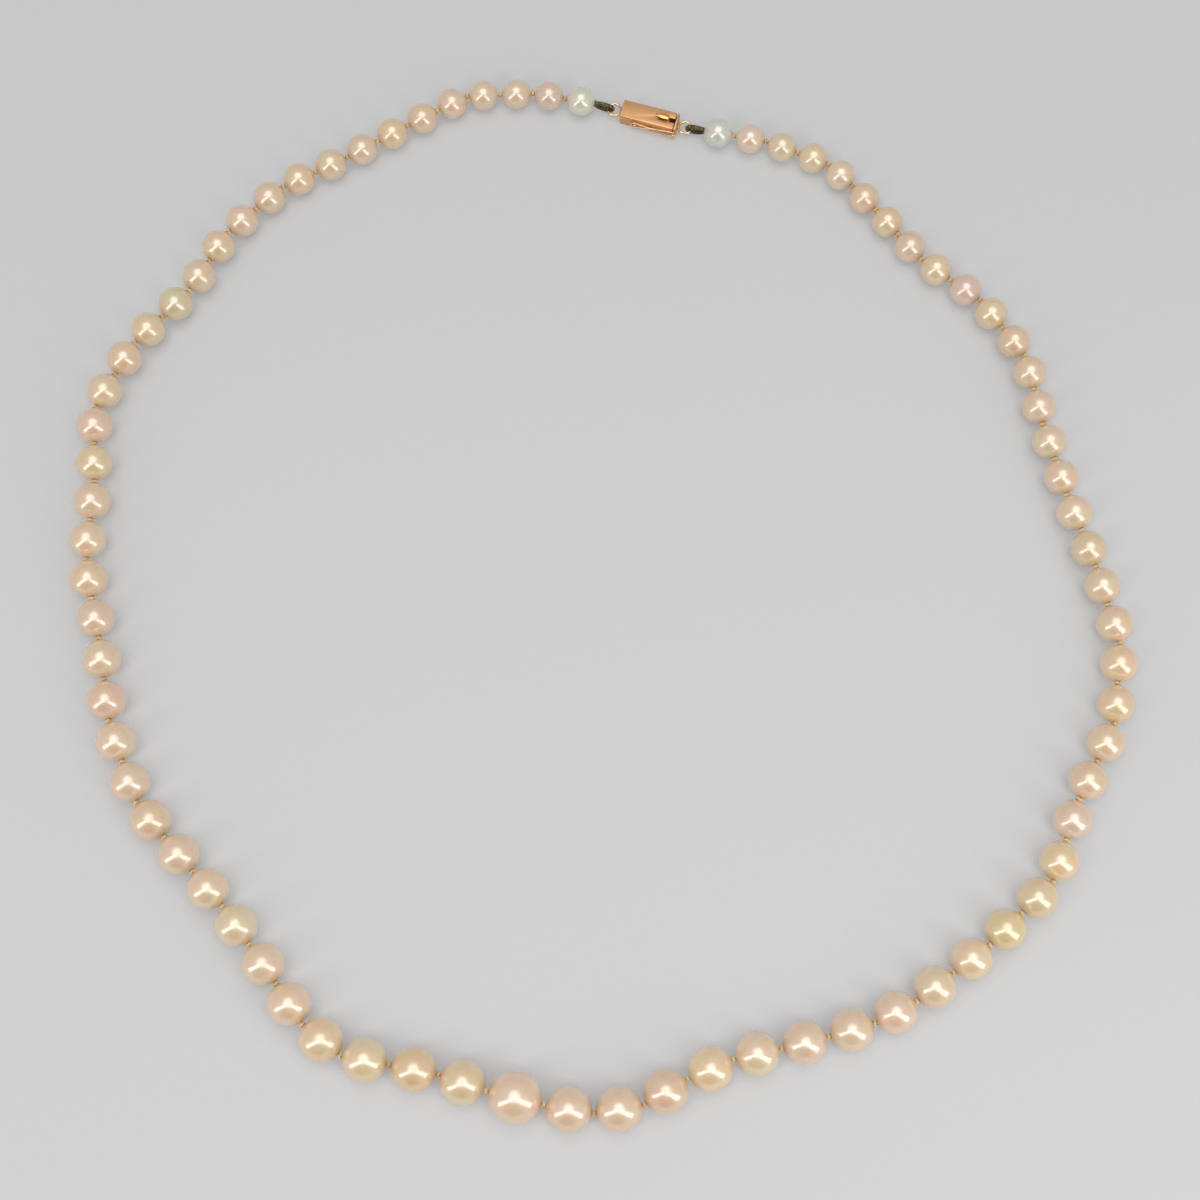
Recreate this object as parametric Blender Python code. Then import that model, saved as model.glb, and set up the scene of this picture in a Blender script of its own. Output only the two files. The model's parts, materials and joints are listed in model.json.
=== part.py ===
"""A single-row necklace of graduated, individually knotted pearls, closed by a small gold box clasp.

The necklace lies closed on a flat surface, in a loose loop: +Z is up, +Y points to the clasp at the
back, and the largest pearl is at the front. The origin is the middle of the loop's outer box, on the
surface that it lies on. Sizes here are in millimetres, and meshes are written in metres.
"""
import math

import bmesh
import bpy
import numpy as np
from mathutils import Matrix, Vector

MM = 0.001

# Pearls, numbered from the box side of the clasp (1) round the front to the tongue side.
PEARL_COUNT = 77
CENTRE_DIAMETER = 7.0      # the middle pearl
FRONT_DIAMETER = 6.06      # its two neighbours
END_DIAMETER = 4.30        # the two beside the clasp
SINGLES_EACH_SIDE = 8      # pearls beside the middle one that are links of their own; the rest go in twos
KNOT_LENGTH = 0.55         # room between two pearls, where the silk is knotted
KNOT_DIAMETER = 1.00
KNOT_CLEARANCE = 0.13      # from a knot to the pearl that turns against it
SILK_DIAMETER = 0.60       # the doubled silk where it enters a drill hole

# Box clasp: its length runs along the strand, its width front to back.
BOX_LENGTH = 8.2
BOX_WIDTH = 2.8
BOX_HEIGHT = 2.3
SHEET = 0.25               # gold sheet of the box and its lid
EDGE_ROUND = 0.08
SOLDER_GAP = 0.02          # between pieces that are soldered together
SLIDE_CLEARANCE = 0.12     # between the tongue and the box

SLOT_WIDTH = 0.72          # the keyhole in the lid that the thumb piece runs in
SLOT_LENGTH = 2.5

LEAF_THICKNESS = 0.22      # both leaves of the folded tongue
TONGUE_LENGTH = 7.0        # inside the box
LEAF_LENGTH = 5.6          # the upper, springing leaf
LEAF_RISE = 0.55           # how far the upper leaf climbs over its length
FOLD_GAP = 0.30            # between the leaves at the fold
END_PLATE_THICKNESS = 0.35
END_PLATE_MARGIN = 0.06    # the end plate is this much smaller than the box all round
MOUTH_GAP = 0.10           # between the end plate and the box mouth

THUMB_STEM = 0.40          # square stem
THUMB_LIFT = 0.50          # free travel under the thumb piece
THUMB_THICKNESS = 0.30
THUMB_LENGTH = 2.3
THUMB_WIDTH = 1.05

RING_WIRE = 0.36           # oval end rings
RING_LENGTH = 2.30         # outer, along the strand
RING_WIDTH = 2.30          # outer
GIMP_WIRE = 0.50           # coiled wire that shields the silk
GIMP_REACH = 2.00          # from the ring's outer bar to where the first pearl turns
GIMP_HEIGHT = 2.00         # outer height of its loop
GIMP_PLAY = 0.14           # between the gimp and the bar that it hangs on

CATCH_WIRE = 0.26          # figure-of-eight safety catch
CATCH_EYE = 0.90           # inner diameter of the eye
CATCH_WAIST = 0.44         # between the wires' middles at the waist
CATCH_TUBE_DIAMETER = 0.66
CATCH_TUBE_HEIGHT = 0.90
CATCH_PLAY = 0.06          # between the wire and its tube
CATCH_SET_BACK = 1.67      # the stud's distance from the box's middle, towards its closed end
STUD_DIAMETER = 0.46
STUD_NECK = 0.24

# Middle line of the loop as it lies, pearl centres and clasp middle, chosen point by point.
LOOP = [
    (7.4, 76.3), (-2.5, 77.7), (-11.8, 79.3), (-22.1, 78.0), (-30.6, 72.3), (-39.7, 67.1), (-49.1, 61.8),
    (-56.2, 53.5), (-61.5, 43.2), (-69.5, 35.4), (-72.6, 23.9), (-70.6, 12.6), (-71.9, 0.8), (-67.5, -10.2),
    (-66.1, -22.1), (-59.9, -33.0), (-51.4, -41.8), (-43.8, -51.8), (-35.5, -62.2), (-23.0, -64.9),
    (-10.7, -68.6), (2.6, -70.3), (14.6, -64.4), (26.8, -61.4), (38.7, -57.7), (48.6, -50.3), (58.3, -44.2),
    (62.2, -33.8), (67.2, -23.5), (72.4, -12.8), (70.1, -1.6), (67.9, 9.4), (63.8, 20.0), (62.4, 30.9),
    (58.8, 41.8), (49.8, 48.6), (42.6, 56.8), (36.2, 65.6), (26.9, 70.5), (18.0, 71.9),
]

AROUND = 10                # flats round a pearl
BANDS = 6                  # bands from pole to pole of a pearl
LOOP_STEPS = 14            # straight runs in a wire ring

MIDDLE = PEARL_COUNT // 2 + 1
RING_REACH = RING_LENGTH - RING_WIRE               # from a ring's soldered bar to its outer bar
BOX_BAR = BOX_LENGTH / 2 + SOLDER_GAP + RING_WIRE / 2 + RING_REACH
END_PLATE_START = BOX_LENGTH / 2 + MOUTH_GAP
END_PLATE_END = END_PLATE_START + END_PLATE_THICKNESS
TONGUE_BAR = END_PLATE_END + SOLDER_GAP + RING_WIRE / 2 + RING_REACH
BAR_HEIGHT = BOX_HEIGHT / 2                         # of both rings and the safety catch


def pearl_radius(number):
    """Radius of a pearl: the middle one, then an even fall from the front to the clasp."""
    steps = abs(number - MIDDLE)
    if steps == 0:
        return CENTRE_DIAMETER / 2
    share = (steps - 1) / (MIDDLE - 2)
    return (FRONT_DIAMETER + (END_DIAMETER - FRONT_DIAMETER) * share) / 2


def link_groups():
    """Pearl numbers of each link, in order from the clasp to the front, for the box and tongue sides."""
    single = MIDDLE - SINGLES_EACH_SIDE
    box_side = [[n, n + 1] for n in range(1, single, 2)] + [[n] for n in range(single, MIDDLE + 1)]
    tongue_side = [[PEARL_COUNT + 1 - n for n in group] for group in box_side[:-1]]
    return box_side, tongue_side


def link_name(group):
    """Node name of a link, such as pearls_03_04 or pearl_39."""
    numbers = "_".join(f"{n:02d}" for n in sorted(group))
    return ("pearls_" if len(group) > 1 else "pearl_") + numbers


def link_length(group):
    """Distance between the two knots that a link turns on."""
    return sum(2 * pearl_radius(n) + KNOT_LENGTH for n in group)


# ---------------------------------------------------------------------------------------------
# Layout: where each link's pivots lie on the surface
# ---------------------------------------------------------------------------------------------

def smooth_loop(points, steps=40):
    """Closed Catmull-Rom curve through the points."""
    p = np.array(points, float)
    before, after, beyond = np.roll(p, 1, 0), np.roll(p, -1, 0), np.roll(p, -2, 0)
    t = np.linspace(0, 1, steps, endpoint=False)[None, :, None]
    a, b, c, d = (q[:, None, :] for q in (before, p, after, beyond))
    curve = 0.5 * (2 * b + (c - a) * t + (2 * a - 5 * b + 4 * c - d) * t**2 + (3 * b - a - 3 * c + d) * t**3)
    return curve.reshape(-1, 2)


class Route:
    """The loop's middle line, measured by arc length from the clasp's middle."""

    def __init__(self, points, scale):
        line = smooth_loop(points) * scale
        self.line = np.vstack([line, line[:1]])
        steps = np.hypot(*np.diff(self.line, axis=0).T)
        self.arc = np.concatenate([[0], np.cumsum(steps)])
        self.length = self.arc[-1]

    def at(self, s):
        s = s % self.length
        return np.array([np.interp(s, self.arc, self.line[:, k]) for k in (0, 1)])

    def step(self, start, s, chord, way):
        """Arc length, further along in the given way, of the point a straight chord away from start."""
        near, far = s, s + way * chord * 1.6
        for _ in range(50):
            middle = (near + far) / 2
            if np.hypot(*(self.at(middle) - start)) < chord:
                near = middle
            else:
                far = middle
        return (near + far) / 2


def end_pearl_height():
    return pearl_radius(1)


def gimp_run():
    """Length on the ground of a gimp loop, which climbs from its ring to the first pearl's hole."""
    return math.sqrt(GIMP_REACH**2 - (end_pearl_height() - BAR_HEIGHT) ** 2)


def clasp_line(route):
    """The clasp's middle and its direction, with the bars of both rings on the loop's middle line."""
    start = route.at(BOX_BAR)
    direction = route.at(-TONGUE_BAR) - start
    direction /= np.hypot(*direction)
    return start + direction * BOX_BAR, direction


def pivots(route, groups, bar, way):
    """Points that one side's pieces turn on: ring bar, gimp end, then each knot, ending at the front."""
    middle, direction = clasp_line(route)
    point = middle - way * direction * bar
    s = way * bar
    points = [point]
    for chord in [gimp_run()] + [link_length(group) for group in groups]:
        s = route.step(point, s, chord, way)
        point = route.at(s)
        points.append(point)
    return points, s


def lay_out():
    """Open the loop out or in until both sides meet at the knot after the middle pearl."""
    box_side, tongue_side = link_groups()
    small, large = 0.5, 2.0
    for _ in range(45):
        scale = (small + large) / 2
        route = Route(LOOP, scale)
        box_points, box_end = pivots(route, box_side, BOX_BAR, 1)
        tongue_points, tongue_end = pivots(route, tongue_side, TONGUE_BAR, -1)
        if box_end - tongue_end > route.length:
            small = scale
        else:
            large = scale
    # both sides end on the same knot, which is put half-way between them
    meeting = (box_points[-1] + tongue_points[-1]) / 2
    box_points[-1] = meeting
    tongue_points[-1] = meeting
    return route, box_points, tongue_points


def pearl_places(points, groups):
    """Number, centre on the ground and radius of each pearl on one side."""
    out = []
    for start, end, group in zip(points[1:], points[2:], groups):
        direction = (end - start) / np.hypot(*(end - start))
        along = 0.0
        for number in group:
            radius = pearl_radius(number)
            along += KNOT_LENGTH / 2 + radius
            out.append((number, start + direction * along, radius))
            along += radius + KNOT_LENGTH / 2
    return out


# ---------------------------------------------------------------------------------------------
# Meshes
# ---------------------------------------------------------------------------------------------

def clear_scene():
    for obj in list(bpy.data.objects):
        bpy.data.objects.remove(obj, do_unlink=True)


def make_material(name, color, roughness, metallic):
    material = bpy.data.materials.new(name)
    material.use_nodes = True
    shader = material.node_tree.nodes["Principled BSDF"]
    shader.inputs["Base Color"].default_value = (*color, 1)
    shader.inputs["Roughness"].default_value = roughness
    shader.inputs["Metallic"].default_value = metallic
    return material


def link_object(name, data, material, parent, place):
    obj = bpy.data.objects.new(name, data)
    bpy.context.collection.objects.link(obj)
    obj.data.materials.append(material)
    obj.parent = parent
    obj.matrix_local = place
    return obj


def mesh_object(name, bm, material, parent, place, smooth=False):
    """Object from a bmesh in millimetres, about its own origin."""
    bmesh.ops.scale(bm, vec=(MM, MM, MM), verts=bm.verts)
    mesh = bpy.data.meshes.new(name)
    bm.to_mesh(mesh)
    bm.free()
    if smooth:
        mesh.shade_smooth()
        mesh.set_sharp_from_angle(angle=math.radians(50))
    return link_object(name, mesh, material, parent, place)


def empty(name, parent, place):
    obj = bpy.data.objects.new(name, None)
    bpy.context.collection.objects.link(obj)
    obj.empty_display_size = 2 * MM
    obj.parent = parent
    obj.matrix_local = place
    return obj


def at(x, y, z):
    return Matrix.Translation(Vector((x, y, z)) * MM)


def box_bmesh(low, high):
    bm = bmesh.new()
    size = [b - a for a, b in zip(low, high)]
    middle = [(a + b) / 2 for a, b in zip(low, high)]
    bmesh.ops.create_cube(bm, size=1, matrix=Matrix.Translation(middle) @ Matrix.Diagonal((*size, 1)))
    return bm


def prism_bmesh(outline, low, high, frame=Matrix.Identity(4)):
    """A flat outline, anticlockwise, drawn up from low to high."""
    bm = bmesh.new()
    face = bm.faces.new([bm.verts.new((x, y, low)) for x, y in outline])
    drawn = bmesh.ops.extrude_face_region(bm, geom=[face])
    verts = [v for v in drawn["geom"] if isinstance(v, bmesh.types.BMVert)]
    bmesh.ops.translate(bm, vec=(0, 0, high - low), verts=verts)
    bmesh.ops.transform(bm, matrix=frame, verts=bm.verts)
    bmesh.ops.recalc_face_normals(bm, faces=bm.faces)
    return bm


def turned_bmesh(profile, around):
    """A profile of (x, radius) points turned about X; it starts and ends on the axis."""
    bm = bmesh.new()
    verts = [bm.verts.new((x, 0, r)) for x, r in profile]
    edges = [bm.edges.new(pair) for pair in zip(verts, verts[1:])]
    bmesh.ops.spin(bm, geom=verts + edges, cent=(0, 0, 0), axis=(1, 0, 0), angle=math.tau, steps=around)
    bmesh.ops.remove_doubles(bm, verts=bm.verts, dist=1e-4)
    bmesh.ops.recalc_face_normals(bm, faces=bm.faces)
    return bm


def cutter(name, bm, parent):
    obj = mesh_object(name, bm, bpy.data.materials["gold"], parent, Matrix.Identity(4))
    obj.hide_render = True
    obj.display_type = "WIRE"
    return obj


def boolean(obj, other, operation):
    modifier = obj.modifiers.new(other.name, "BOOLEAN")
    modifier.object = other
    modifier.operation = operation


def rounded_edges(obj):
    modifier = obj.modifiers.new("edge", "BEVEL")
    modifier.width = EDGE_ROUND * MM
    modifier.segments = 1


def wire_object(name, points, diameter, material, parent, place):
    """A closed ring of round wire through points in millimetres."""
    curve = bpy.data.curves.new(name, "CURVE")
    curve.dimensions = "3D"
    curve.bevel_depth = diameter / 2 * MM
    curve.bevel_resolution = 2
    spline = curve.splines.new("POLY")
    spline.points.add(len(points) - 1)
    for point, co in zip(spline.points, points):
        point.co = (*(Vector(co) * MM), 1)
    spline.use_cyclic_u = True
    return link_object(name, curve, material, parent, place)


def arc(cx, cy, radius, start, end, steps):
    """Points on an arc, angles in degrees."""
    angles = np.radians(np.linspace(start, end, steps + 1))
    return [(cx + radius * math.cos(a), cy + radius * math.sin(a)) for a in angles]


# ---------------------------------------------------------------------------------------------
# Strand
# ---------------------------------------------------------------------------------------------

def link_profile(group, leading_knot, trailing_knot):
    """Side outline of a link from its first pivot, at x = 0, to its last pearl or last knot."""
    half_knot = KNOT_LENGTH / 2 - KNOT_CLEARANCE
    knot_radius, neck = KNOT_DIAMETER / 2, SILK_DIAMETER / 2
    profile = [(-half_knot, 0), (0, knot_radius)] if leading_knot else []
    x = 0.0
    for place, number in enumerate(group):
        radius = pearl_radius(number)
        centre = x + KNOT_LENGTH / 2 + radius
        hole = math.asin(neck / radius)
        angles = [hole] + [math.pi * k / BANDS for k in range(1, BANDS)] + [math.pi - hole]
        if place == 0 and not leading_knot:
            profile.append((centre - radius, 0))
            angles = angles[1:]
        last = place == len(group) - 1
        if last and not trailing_knot:
            angles = angles[:-1]
        profile += [(centre - radius * math.cos(a), radius * math.sin(a)) for a in angles]
        x = centre + radius + KNOT_LENGTH / 2
        if not last:
            profile.append((x, knot_radius))
        elif trailing_knot:
            profile += [(x, knot_radius), (x + half_knot, 0)]
        else:
            profile.append((centre + radius, 0))
    return profile


def lying_frame(start, end, start_height, end_height):
    """Placement with local X from start to end, and local Z as near up as can be."""
    along = Vector((*end, end_height)) - Vector((*start, start_height))
    along.normalize()
    side = Vector((0, 0, 1)).cross(along).normalized()
    up = along.cross(side)
    turn = Matrix((along, side, up)).transposed().to_4x4()
    return at(*start, start_height) @ turn


def make_links(points, groups, pearl, parent, leading_side):
    """All pearl links of one side; only the middle pearl carries a knot on its far side too."""
    for index, group in enumerate(groups):
        start, end = points[index + 1], points[index + 2]
        radii = [pearl_radius(n) for n in group]
        rise = (radii[-1] - radii[0]) / (link_length(group) / len(group)) if len(group) > 1 else 0.0
        first = KNOT_LENGTH / 2 + radii[0]
        low = radii[0] - rise * first
        high = low + rise * link_length(group)
        profile = link_profile(group, index > 0, leading_side and index == len(groups) - 1)
        bm = turned_bmesh(profile, AROUND)
        mesh_object(link_name(group), bm, pearl, parent, lying_frame(start, end, low, high), smooth=True)


def make_gimp(name, bar, end, gimp, parent):
    """Loop of coiled wire round the ring's bar, climbing to the first pearl's drill hole."""
    near = -(RING_WIRE / 2 + GIMP_PLAY + GIMP_WIRE / 2)
    far = GIMP_REACH - KNOT_CLEARANCE - GIMP_WIRE / 2
    middle, half = (near + far) / 2, (far - near) / 2
    rise = (GIMP_HEIGHT - GIMP_WIRE) / 2
    turns = [math.tau * k / LOOP_STEPS for k in range(LOOP_STEPS)]
    ring = [(middle + half * math.cos(a), 0, rise * math.sin(a)) for a in turns]
    place = lying_frame(bar, end, BAR_HEIGHT, end_pearl_height())
    return wire_object(name, ring, GIMP_WIRE, gimp, parent, place)


# ---------------------------------------------------------------------------------------------
# Clasp, in its own frame: X from the box's closed end to the tongue, Y back, Z up from the surface
# ---------------------------------------------------------------------------------------------

def make_box(gold, parent):
    """Tray of the box, open at the top and at the tongue's end."""
    half, side, top = BOX_LENGTH / 2, BOX_WIDTH / 2, BOX_HEIGHT - SHEET - SOLDER_GAP
    tray = mesh_object("clasp_box", box_bmesh((-half, -side, 0), (half, side, top)), gold, parent,
                       Matrix.Identity(4))
    rounded_edges(tray)
    hollow = box_bmesh((-half + SHEET, -side + SHEET, SHEET), (half + 1, side - SHEET, top + 1))
    boolean(tray, cutter("box_hollow", hollow, parent), "DIFFERENCE")


def make_lid(gold, parent):
    """Top plate with the keyhole slot, open at the mouth."""
    half, side = BOX_LENGTH / 2, BOX_WIDTH / 2
    lid = mesh_object("clasp_lid", box_bmesh((-half, -side, BOX_HEIGHT - SHEET), (half, side, BOX_HEIGHT)),
                      gold, parent, Matrix.Identity(4))
    rounded_edges(lid)
    radius = SLOT_WIDTH / 2
    outline = arc(half - SLOT_LENGTH + radius, 0, radius, 90, 270, 6) + [(half + 1, -radius), (half + 1, radius)]
    slot = prism_bmesh(outline, BOX_HEIGHT - SHEET - 1, BOX_HEIGHT + 1)
    boolean(lid, cutter("lid_slot", slot, parent), "DIFFERENCE")


def make_ring(name, soldered_bar, way, gold, parent):
    """Flat oval wire ring, soldered on at one end."""
    middle = soldered_bar + way * RING_REACH / 2
    half, side = RING_REACH / 2, (RING_WIDTH - RING_WIRE) / 2
    turns = [math.tau * k / LOOP_STEPS for k in range(LOOP_STEPS)]
    ring = [(middle + half * math.cos(a), side * math.sin(a), BAR_HEIGHT) for a in turns]
    wire_object(name, ring, RING_WIRE, gold, parent, Matrix.Identity(4))


def leaf_half_width():
    return BOX_WIDTH / 2 - SHEET - SLIDE_CLEARANCE


def lower_leaf_top():
    return SHEET + SLIDE_CLEARANCE + LEAF_THICKNESS


def make_tongue(gold, parent):
    """Lower leaf, with the end plate that closes the box mouth."""
    low, width = SHEET + SLIDE_CLEARANCE, leaf_half_width()
    leaf = mesh_object("tongue", box_bmesh((END_PLATE_END - 0.05 - MOUTH_GAP - TONGUE_LENGTH, -width, low),
                                           (END_PLATE_END - 0.05, width, lower_leaf_top())),
                       gold, parent, Matrix.Identity(4))
    margin = END_PLATE_MARGIN
    side = BOX_WIDTH / 2 - margin
    plate = box_bmesh((END_PLATE_START, -side, margin), (END_PLATE_END, side, BOX_HEIGHT - margin))
    boolean(leaf, cutter("end_plate", plate, parent), "UNION")


def fold_point():
    """Where the tongue is folded back on itself: the axis that the upper leaf springs about."""
    x = END_PLATE_END - 0.05 - MOUTH_GAP - TONGUE_LENGTH + 0.25
    return x, lower_leaf_top() + FOLD_GAP


def make_spring_leaf(gold, parent):
    """Upper leaf of the fold, climbing to the mouth, about the fold."""
    side_view = Matrix.Rotation(math.pi / 2, 4, "X")
    slope = LEAF_RISE / LEAF_LENGTH
    outline = [(0, 0), (LEAF_LENGTH, slope * LEAF_LENGTH), (LEAF_LENGTH, slope * LEAF_LENGTH + LEAF_THICKNESS),
               (0, LEAF_THICKNESS)]
    width = leaf_half_width()
    mesh_object("spring_leaf", prism_bmesh(outline, -width, width, side_view), gold, parent, Matrix.Identity(4))


def make_thumb_piece(gold, parent):
    """Teardrop thumb piece on a stem that stands on the upper leaf and runs in the lid's slot."""
    fold_x, fold_z = fold_point()
    slot_end = BOX_LENGTH / 2 - SLOT_LENGTH
    stem_x = slot_end + SLOT_WIDTH / 2 + THUMB_STEM / 2 - fold_x
    leaf_top = LEAF_RISE * (stem_x + THUMB_STEM / 2) / LEAF_LENGTH + LEAF_THICKNESS
    under = BOX_HEIGHT + THUMB_LIFT - fold_z
    half = THUMB_STEM / 2
    foot = leaf_top + SOLDER_GAP
    piece = mesh_object("thumb_piece", box_bmesh((stem_x - half, -half, foot),
                                                 (stem_x + half, half, under + THUMB_THICKNESS / 2)),
                        gold, parent, Matrix.Identity(4))
    radius = THUMB_WIDTH / 2
    wide = stem_x + THUMB_LENGTH / 2 - radius
    outline = arc(wide, 0, radius, -110, 110, 10) + [(stem_x - THUMB_LENGTH / 2, 0)]
    drop = prism_bmesh(outline, under, under + THUMB_THICKNESS)
    boolean(piece, cutter("thumb_drop", drop, parent), "UNION")


def catch_line():
    """Distance of the catch's plane in front of the clasp's middle line."""
    return BOX_WIDTH / 2 - END_PLATE_MARGIN + SOLDER_GAP + CATCH_TUBE_DIAMETER / 2


def catch_axis():
    return (END_PLATE_START + END_PLATE_END) / 2


def make_catch_tube(gold, parent):
    """Upright tube on the end plate's front edge that the safety catch turns in."""
    outer, inner = CATCH_TUBE_DIAMETER / 2, CATCH_WIRE / 2 + CATCH_PLAY
    low, high = BAR_HEIGHT - CATCH_TUBE_HEIGHT / 2, BAR_HEIGHT + CATCH_TUBE_HEIGHT / 2
    place = at(catch_axis(), -catch_line(), 0)
    tube = mesh_object("catch_tube", prism_bmesh(arc(0, 0, outer, 0, 330, 11), low, high), gold, parent, place)
    bore = cutter("catch_bore", prism_bmesh(arc(0, 0, inner, 0, 330, 11), low - 1, high + 1), parent)
    bore.matrix_local = place
    boolean(tube, bore, "DIFFERENCE")


def make_catch(gold, parent):
    """Figure of eight of wire: an upright bar in the tube, a waist, and the eye round the stud."""
    reach = catch_axis() + CATCH_SET_BACK
    eye = (CATCH_EYE + CATCH_WIRE) / 2
    bar, waist = eye, CATCH_WAIST / 2
    corner = 0.25
    upper = [(0, bar - corner), (-corner, bar), (-reach * 0.25, bar * 0.75), (-reach * 0.5, waist),
             (-reach * 0.72, waist)]
    around_eye = arc(-reach, 0, eye, 50, 310, 9)
    lower = [(x, -z) for x, z in reversed(upper)]
    wire = [(x, 0, z) for x, z in upper + around_eye + lower]
    wire_object("safety_catch", wire, CATCH_WIRE, gold, parent, Matrix.Identity(4))


def make_stud(gold, parent):
    """Ball stud on the box's front wall, in the middle of the catch's eye."""
    radius, neck = STUD_DIAMETER / 2, STUD_NECK / 2
    stand = catch_line() - BOX_WIDTH / 2 - SOLDER_GAP
    hole = math.asin(neck / radius)
    angles = [hole + (math.pi - hole) * k / 5 for k in range(6)]
    profile = [(0, 0), (0, neck)] + [(stand - radius * math.cos(a), radius * math.sin(a)) for a in angles[:-1]]
    profile.append((stand + radius, 0))
    out = Matrix.Rotation(-math.pi / 2, 4, "Z")
    place = at(-CATCH_SET_BACK, -BOX_WIDTH / 2 - SOLDER_GAP, BAR_HEIGHT) @ out
    mesh_object("catch_stud", turned_bmesh(profile, 8), gold, parent, place, smooth=True)


def make_clasp(route, centre, gold):
    """The whole clasp on the loop's middle line, with an empty on each axis that something turns on."""
    middle, direction = clasp_line(route)
    turn = Matrix.Rotation(math.atan2(direction[1], direction[0]), 4, "Z")
    place = empty("clasp_place", None, at(*(middle - centre), 0) @ turn)
    make_box(gold, place)
    make_lid(gold, place)
    make_ring("box_ring", -(BOX_BAR - RING_REACH), -1, gold, place)
    make_stud(gold, place)
    make_tongue(gold, place)
    make_ring("tongue_ring", TONGUE_BAR - RING_REACH, 1, gold, place)
    make_catch_tube(gold, place)
    fold_x, fold_z = fold_point()
    fold = empty("fold_axis", place, at(fold_x, 0, fold_z))
    make_spring_leaf(gold, fold)
    make_thumb_piece(gold, fold)
    make_catch(gold, empty("catch_axis", place, at(catch_axis(), -catch_line(), BAR_HEIGHT)))


def build():
    clear_scene()
    pearl = make_material("pearl", (0.86, 0.76, 0.66), 0.25, 0.0)
    gold = make_material("gold", (0.83, 0.55, 0.33), 0.30, 1.0)
    gimp = make_material("tarnished_gimp", (0.20, 0.19, 0.08), 0.50, 1.0)

    route, box_points, tongue_points = lay_out()
    box_side, tongue_side = link_groups()
    places = pearl_places(box_points, box_side) + pearl_places(tongue_points, tongue_side)
    lows = np.min([p - r for _, p, r in places], axis=0)
    highs = np.max([p + r for _, p, r in places], axis=0)
    centre = (lows + highs) / 2

    make_clasp(route, centre, gold)
    strand = empty("strand_place", None, at(-centre[0], -centre[1], 0))
    make_gimp("gimp_left", box_points[0], box_points[1], gimp, strand)
    make_gimp("gimp_right", tongue_points[0], tongue_points[1], gimp, strand)
    make_links(box_points, box_side, pearl, strand, True)
    make_links(tongue_points, tongue_side, pearl, strand, False)


build()
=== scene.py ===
import json
import math
import random

import bmesh
import bpy
import numpy as np
from mathutils import Matrix, Vector, noise

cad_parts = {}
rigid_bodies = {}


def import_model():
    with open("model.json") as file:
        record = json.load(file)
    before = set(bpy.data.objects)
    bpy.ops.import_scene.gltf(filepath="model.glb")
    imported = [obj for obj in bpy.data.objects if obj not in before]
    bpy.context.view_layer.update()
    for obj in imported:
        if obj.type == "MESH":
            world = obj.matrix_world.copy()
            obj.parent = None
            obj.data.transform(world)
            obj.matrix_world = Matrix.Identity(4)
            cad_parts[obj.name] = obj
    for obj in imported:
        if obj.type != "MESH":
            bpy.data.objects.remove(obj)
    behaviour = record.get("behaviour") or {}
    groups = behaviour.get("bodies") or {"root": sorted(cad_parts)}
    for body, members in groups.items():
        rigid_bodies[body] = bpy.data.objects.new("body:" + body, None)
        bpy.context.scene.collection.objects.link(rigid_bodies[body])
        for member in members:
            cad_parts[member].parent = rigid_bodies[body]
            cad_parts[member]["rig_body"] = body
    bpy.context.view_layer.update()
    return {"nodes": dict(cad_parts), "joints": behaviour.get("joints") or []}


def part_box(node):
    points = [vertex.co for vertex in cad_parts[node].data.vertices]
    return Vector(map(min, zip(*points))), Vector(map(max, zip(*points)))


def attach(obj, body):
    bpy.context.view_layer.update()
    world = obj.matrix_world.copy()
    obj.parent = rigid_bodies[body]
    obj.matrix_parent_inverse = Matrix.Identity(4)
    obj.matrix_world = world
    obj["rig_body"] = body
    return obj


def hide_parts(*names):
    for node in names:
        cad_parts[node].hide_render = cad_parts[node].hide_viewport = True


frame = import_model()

# ---------------------------------------------------------------------------------------------
# Pearls. Seventy-seven cultured pearls, a nacre skin on a bead, drilled through and matched by
# eye: they fall evenly in size from the middle one to the clasp, and no two have quite the same
# body colour. Each is turned in the lap, so it is round to about a hundredth, with a few pits.
# ---------------------------------------------------------------------------------------------
MM = 0.001
PEARL_COUNT = 77
MIDDLE = 39
CENTRE_DIAMETER = 7.0
FRONT_DIAMETER = 6.06
END_DIAMETER = 4.30
KNOT_ROOM = 0.55           # between two pearls
KNOT_TIP = 0.145           # from a knot's middle to its end on the cord
PEARL_SIDES = 48
PEARL_BANDS = 24
OUT_OF_ROUND = 0.006       # this and the next two are shares of the radius
RIM_STEP = 0.015           # from a pearl's skin into its drill hole
SKIN_EDGE = 0.12           # further from the hole's middle line than this is skin
HOLE_NARROWING = 0.82      # of the hole, just inside the skin
PIT_DEPTH = 0.10           # a share of the pit's own width

CREAM = (0.78, 0.58, 0.375)
AMBER = (0.66, 0.34, 0.10)
SHADES = {                 # pearls that stand out from the cream of the rest
    1: (0.70, 0.68, 0.54), 77: (0.66, 0.67, 0.60), 76: (0.76, 0.58, 0.42), 2: (0.74, 0.56, 0.42),
    26: (0.78, 0.53, 0.36), 42: (0.77, 0.53, 0.34), 68: (0.75, 0.55, 0.42), 50: (0.75, 0.57, 0.31),
    37: (0.75, 0.56, 0.29), 15: (0.73, 0.58, 0.36), 60: (0.74, 0.58, 0.36), 51: (0.75, 0.56, 0.34),
}
STAINED = 29               # one pearl has an amber pit
STAIN_WIDTH = 0.22


def pearl_radius(number):
    """Radius in millimetres: the middle pearl, then an even fall from the front to the clasp."""
    steps = abs(number - MIDDLE)
    if steps == 0:
        return CENTRE_DIAMETER / 2
    share = (steps - 1) / (MIDDLE - 2)
    return (FRONT_DIAMETER + (END_DIAMETER - FRONT_DIAMETER) * share) / 2


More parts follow.
